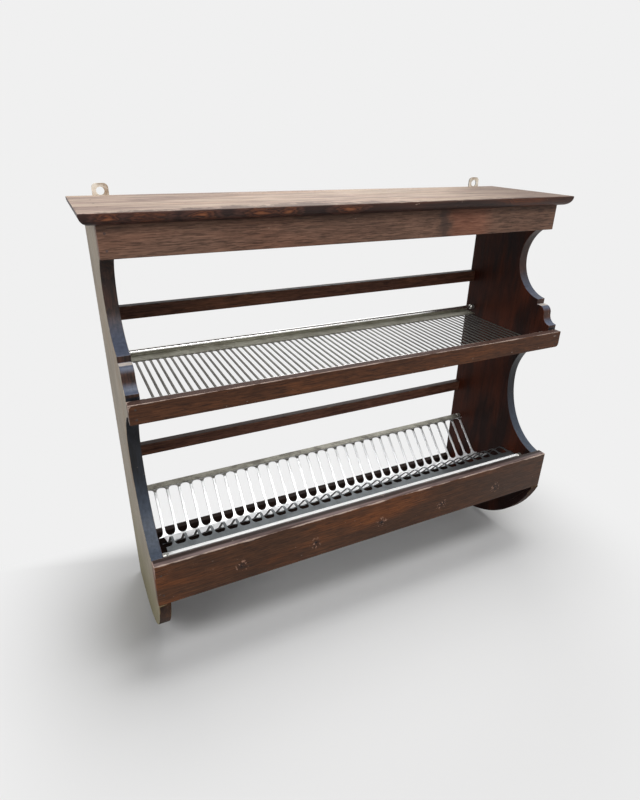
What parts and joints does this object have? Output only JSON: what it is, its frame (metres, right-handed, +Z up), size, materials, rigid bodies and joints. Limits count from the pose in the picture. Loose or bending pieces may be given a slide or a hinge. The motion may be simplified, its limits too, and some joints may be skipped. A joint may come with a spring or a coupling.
{
  "type": "wall-hung plate rack",
  "caption": "Dark pine wall rack with a moulded top, shaped sides, a slotted metal glass rack and a trough-shaped metal plate rack that lift off their rods.",
  "frame": {"origin": "midway between the centres of the two hanger holes, in the plane of the wall", "axes": "+X to the right along the wall as seen from the front, +Y into the wall, +Z up"},
  "size_m": [1.05, 0.372, 0.9482],
  "materials": {
    "dark_wood": "dark stain, worn at the edges",
    "top_wood": "worn pale stain, darker front edge",
    "frieze_wood": "greyish brown stain",
    "rail_wood": "dark brown stain, worn arrises",
    "bottom_wood": "reddish brown stain, worn arrises",
    "rod_steel": "dull with age",
    "bush_metal": "dull with age",
    "rack_sheet": "dull, grey-olive tarnish",
    "plate_sheet": "satin, bright on the rubbed edges",
    "hanger_brass": "pale, lightly tarnished",
    "nail_steel": "dark old nails"
  },
  "bodies": {
    "cabinet": {"side_board_left": "dark_wood", "side_board_right": "dark_wood", "top_board": "top_wood", "frieze_board": "frieze_wood", "middle_rail": "rail_wood", "bottom_board": "bottom_wood", "back_slat_upper": "dark_wood", "back_slat_lower": "dark_wood", "back_rail_foot": "dark_wood", "rod_upper_back": "rod_steel", "rod_upper_front": "rod_steel", "rod_lower_back": "rod_steel", "rod_lower_front": "rod_steel", "rod_bushes": "bush_metal", "hanger_plate_left": "hanger_brass", "hanger_plate_right": "hanger_brass", "hanger_screws": "hanger_brass", "top_board_nails": "nail_steel", "frieze_nails": "nail_steel", "middle_rail_nails": "nail_steel", "bottom_board_nails": "nail_steel", "slat_nails": "nail_steel"},
    "glass_rack": {"glass_rack_back_edge": "rack_sheet", "glass_rack_bars": "rack_sheet", "glass_rack_front_edge": "rack_sheet"},
    "plate_rack": {"plate_rack_back_edge": "rack_sheet", "plate_rack_bars": "plate_sheet", "plate_rack_lip": "plate_sheet", "plate_rack_apron": "plate_sheet", "plate_rack_hoops": "plate_sheet", "plate_rack_front_edge": "plate_sheet"}
  },
  "joints": [
    {"name": "glass_rack_lift", "type": "slide", "parent": "cabinet", "child": "glass_rack", "axis": [0, 0, 1], "range_m": [0, 0.15]},
    {"name": "plate_rack_lift", "type": "slide", "parent": "cabinet", "child": "plate_rack", "axis": [0, 0, 1], "range_m": [0, 0.2]}
  ]
}
